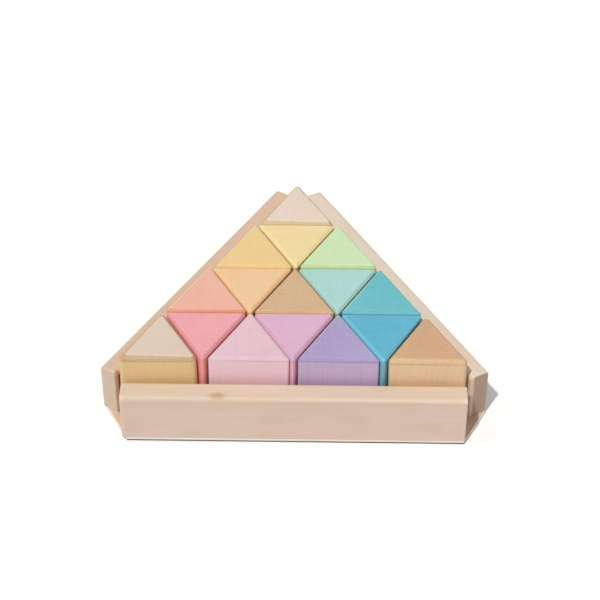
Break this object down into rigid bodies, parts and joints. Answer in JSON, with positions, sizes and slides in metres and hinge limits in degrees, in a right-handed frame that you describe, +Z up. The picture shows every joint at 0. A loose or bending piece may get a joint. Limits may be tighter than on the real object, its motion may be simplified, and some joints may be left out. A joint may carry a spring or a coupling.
{
  "type": "triangular block tray",
  "caption": "Low triangular wooden tray, rails on a thin board, packed with loose triangular prism blocks in pastel stains and natural wood that lift straight out.",
  "frame": {"origin": "middle of the triangular tray, on the underside of its board", "axes": "+X along the front rail to the right, +Y from the front rail to the back corner, +Z up"},
  "size_m": [0.2889, 0.2517, 0.0633],
  "materials": {
    "board_wood": "bare sanded wood, matte",
    "rail_wood": "bare sanded wood, grain along the rail, matte",
    "screw_steel": "plain zinc-plated steel",
    "finish_natural_apex": "bare pale wood, matte, end grain on top",
    "finish_golden_yellow": "golden yellow stain, matte, grain shows",
    "finish_pale_yellow": "pale yellow stain, matte, grain shows",
    "finish_light_green": "light green stain, matte, grain shows",
    "finish_salmon": "salmon stain, matte, grain shows",
    "finish_light_orange": "light orange stain, matte, grain shows",
    "finish_natural_centre": "bare tan wood, matte, end grain on top",
    "finish_mint": "mint stain, matte, grain shows",
    "finish_teal": "teal stain, matte, grain shows",
    "finish_natural_left": "bare pale wood, matte, end grain on top",
    "finish_coral": "coral stain, matte, grain shows",
    "finish_light_pink": "light pink stain, matte, grain shows",
    "finish_mauve": "mauve stain, matte, grain shows",
    "finish_purple": "purple stain, matte, grain shows",
    "finish_blue": "blue stain, matte, grain shows",
    "finish_natural_right": "bare tan wood, matte, end grain on top"
  },
  "bodies": {
    "tray": {"base_board": "board_wood", "front_rail": "rail_wood", "left_rail": "rail_wood", "right_rail": "rail_wood", "front_rail_screw_1": "screw_steel", "front_rail_screw_2": "screw_steel", "left_rail_screw_1": "screw_steel", "left_rail_screw_2": "screw_steel", "right_rail_screw_1": "screw_steel", "right_rail_screw_2": "screw_steel"},
    "natural_apex": {"block_natural_apex": "finish_natural_apex"},
    "golden_yellow": {"block_golden_yellow": "finish_golden_yellow"},
    "pale_yellow": {"block_pale_yellow": "finish_pale_yellow"},
    "light_green": {"block_light_green": "finish_light_green"},
    "salmon": {"block_salmon": "finish_salmon"},
    "light_orange": {"block_light_orange": "finish_light_orange"},
    "natural_centre": {"block_natural_centre": "finish_natural_centre"},
    "mint": {"block_mint": "finish_mint"},
    "teal": {"block_teal": "finish_teal"},
    "natural_left": {"block_natural_left": "finish_natural_left"},
    "coral": {"block_coral": "finish_coral"},
    "light_pink": {"block_light_pink": "finish_light_pink"},
    "mauve": {"block_mauve": "finish_mauve"},
    "purple": {"block_purple": "finish_purple"},
    "blue": {"block_blue": "finish_blue"},
    "natural_right": {"block_natural_right": "finish_natural_right"}
  },
  "joints": [
    {"name": "lift_natural_apex", "type": "slide", "parent": "tray", "child": "natural_apex", "axis": [0, 0, 1], "range_m": [0, 0.065]},
    {"name": "lift_golden_yellow", "type": "slide", "parent": "tray", "child": "golden_yellow", "axis": [0, 0, 1], "range_m": [0, 0.065]},
    {"name": "lift_pale_yellow", "type": "slide", "parent": "tray", "child": "pale_yellow", "axis": [0, 0, 1], "range_m": [0, 0.065]},
    {"name": "lift_light_green", "type": "slide", "parent": "tray", "child": "light_green", "axis": [0, 0, 1], "range_m": [0, 0.065]},
    {"name": "lift_salmon", "type": "slide", "parent": "tray", "child": "salmon", "axis": [0, 0, 1], "range_m": [0, 0.065]},
    {"name": "lift_light_orange", "type": "slide", "parent": "tray", "child": "light_orange", "axis": [0, 0, 1], "range_m": [0, 0.065]},
    {"name": "lift_natural_centre", "type": "slide", "parent": "tray", "child": "natural_centre", "axis": [0, 0, 1], "range_m": [0, 0.065]},
    {"name": "lift_mint", "type": "slide", "parent": "tray", "child": "mint", "axis": [0, 0, 1], "range_m": [0, 0.065]},
    {"name": "lift_teal", "type": "slide", "parent": "tray", "child": "teal", "axis": [0, 0, 1], "range_m": [0, 0.065]},
    {"name": "lift_natural_left", "type": "slide", "parent": "tray", "child": "natural_left", "axis": [0, 0, 1], "range_m": [0, 0.065]},
    {"name": "lift_coral", "type": "slide", "parent": "tray", "child": "coral", "axis": [0, 0, 1], "range_m": [0, 0.065]},
    {"name": "lift_light_pink", "type": "slide", "parent": "tray", "child": "light_pink", "axis": [0, 0, 1], "range_m": [0, 0.065]},
    {"name": "lift_mauve", "type": "slide", "parent": "tray", "child": "mauve", "axis": [0, 0, 1], "range_m": [0, 0.065]},
    {"name": "lift_purple", "type": "slide", "parent": "tray", "child": "purple", "axis": [0, 0, 1], "range_m": [0, 0.065]},
    {"name": "lift_blue", "type": "slide", "parent": "tray", "child": "blue", "axis": [0, 0, 1], "range_m": [0, 0.065]},
    {"name": "lift_natural_right", "type": "slide", "parent": "tray", "child": "natural_right", "axis": [0, 0, 1], "range_m": [0, 0.065]}
  ]
}
